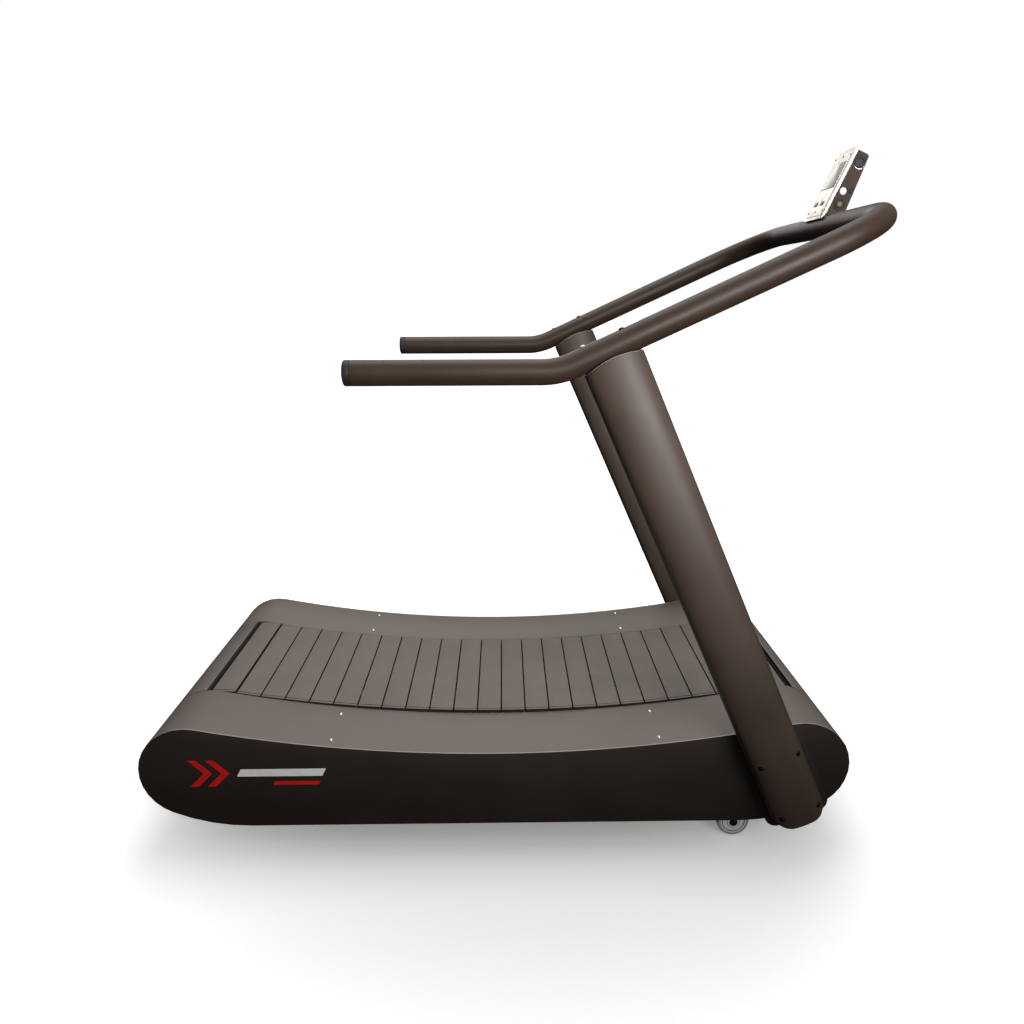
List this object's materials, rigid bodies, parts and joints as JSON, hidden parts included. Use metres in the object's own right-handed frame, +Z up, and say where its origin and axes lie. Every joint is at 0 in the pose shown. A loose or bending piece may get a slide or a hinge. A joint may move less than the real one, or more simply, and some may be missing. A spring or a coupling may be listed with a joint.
{
  "type": "curved manual treadmill",
  "caption": "Non-motorised curved treadmill: a slatted running belt on a concave deck, leaning side uprights, a bent tube handrail and a small console.",
  "frame": {"origin": "centre of the footprint, on the floor under the four feet", "axes": "+X to the front, where the console is; +Y to the runner's left; +Z up"},
  "size_m": [1.7485, 0.9618, 1.6433],
  "materials": {
    "brown_coating": "fine matt powder coat, warm brown grey",
    "black_panel": "matt near-black panel",
    "post_paint": "satin dark brown powder coat",
    "handrail_black": "matt black powder coat",
    "slat_rubber": "rubber tread with fine staggered dimples",
    "black_rubber": "moulded black rubber",
    "button_rubber": "pale grey silicone keys",
    "bare_steel": "zinc plated steel",
    "brushed_face": "brushed stainless sheet",
    "bronze_case": "dark bronze sheet metal",
    "grey_tyre": "translucent grey polyurethane",
    "display_glass": "pale reflective liquid crystal window"
  },
  "bodies": {
    "base": {"foot_rail_left": "brown_coating", "foot_rail_right": "brown_coating", "end_cover_front": "brown_coating", "end_cover_rear": "brown_coating", "side_panel_left": "black_panel", "side_panel_right": "black_panel", "side_frame_left": "bare_steel", "side_frame_right": "bare_steel", "bearing_rail_left": "bare_steel", "bearing_rail_right": "bare_steel", "cross_tube_front": "bare_steel", "cross_tube_rear": "bare_steel", "wheel_bracket_left": "bare_steel", "wheel_bracket_right": "bare_steel", "upright_left": "post_paint", "upright_right": "post_paint", "upright_plate_left": "post_paint", "upright_plate_right": "post_paint", "handrail": "handrail_black", "handrail_cap_left": "black_rubber", "handrail_cap_right": "black_rubber", "foot_front_left": "black_rubber", "foot_front_right": "black_rubber", "foot_rear_left": "black_rubber", "foot_rear_right": "black_rubber", "console_face": "brushed_face", "console_case": "bronze_case", "console_clamp": "bronze_case", "console_display": "display_glass"},
    "running_surface": {"slat_01": "slat_rubber", "slat_02": "slat_rubber", "slat_03": "slat_rubber", "slat_04": "slat_rubber", "slat_05": "slat_rubber", "slat_06": "slat_rubber", "slat_07": "slat_rubber", "slat_08": "slat_rubber", "slat_09": "slat_rubber", "slat_10": "slat_rubber", "slat_11": "slat_rubber", "slat_12": "slat_rubber", "slat_13": "slat_rubber", "slat_14": "slat_rubber", "slat_15": "slat_rubber", "slat_16": "slat_rubber", "slat_17": "slat_rubber", "slat_18": "slat_rubber", "slat_19": "slat_rubber", "slat_20": "slat_rubber", "slat_21": "slat_rubber", "slat_22": "slat_rubber"},
    "front_drum": {"drum_front": "bare_steel", "belt_front_wrap": "slat_rubber"},
    "rear_drum": {"drum_rear": "bare_steel", "belt_rear_wrap": "slat_rubber"},
    "return_run": {"belt_return_run": "slat_rubber"},
    "left_wheel": {"transport_wheel_left": "grey_tyre"},
    "right_wheel": {"transport_wheel_right": "grey_tyre"},
    "left_button": {"console_button_left": "button_rubber"},
    "right_button": {"console_button_right": "button_rubber"}
  },
  "joints": [
    {"name": "belt_travel", "type": "hinge", "parent": "base", "child": "running_surface", "pos_m": [-0.0159, 0, 4.28], "axis": [0, 1, 0], "range_deg": [-0.4486, 0.4486]},
    {"name": "front_drum_spin", "type": "hinge", "parent": "base", "child": "front_drum", "pos_m": [0.6961, 0, 0.21488], "axis": [0, 1, 0], "range_deg": [-18.46, 18.46]},
    {"name": "rear_drum_spin", "type": "hinge", "parent": "base", "child": "rear_drum", "pos_m": [-0.7279, 0, 0.21488], "axis": [0, 1, 0], "range_deg": [-18.46, 18.46]},
    {"name": "return_run_travel", "type": "slide", "parent": "base", "child": "return_run", "axis": [1, 0, 0], "range_m": [-0.0316, 0.0316]},
    {"name": "left_wheel_spin", "type": "hinge", "parent": "base", "child": "left_wheel", "pos_m": [0.5761, 0.378, 0.0425], "axis": [0, 1, 0], "continuous": true},
    {"name": "right_wheel_spin", "type": "hinge", "parent": "base", "child": "right_wheel", "pos_m": [0.5761, -0.378, 0.0425], "axis": [0, 1, 0], "continuous": true},
    {"name": "left_button_press", "type": "slide", "parent": "base", "child": "left_button", "axis": [0.9143, 0, -0.4051], "range_m": [0, 0.0012], "stiffness_N_per_m": 600, "springref_m": -0.001},
    {"name": "right_button_press", "type": "slide", "parent": "base", "child": "right_button", "axis": [0.9143, 0, -0.4051], "range_m": [0, 0.0012], "stiffness_N_per_m": 600, "springref_m": -0.001}
  ],
  "couplings": [
    {"joint": "front_drum_spin", "follows": "belt_travel", "ratio": -41.112},
    {"joint": "rear_drum_spin", "follows": "belt_travel", "ratio": -41.112},
    {"joint": "return_run_travel", "follows": "belt_travel", "m_per_rad": 4.029}
  ]
}
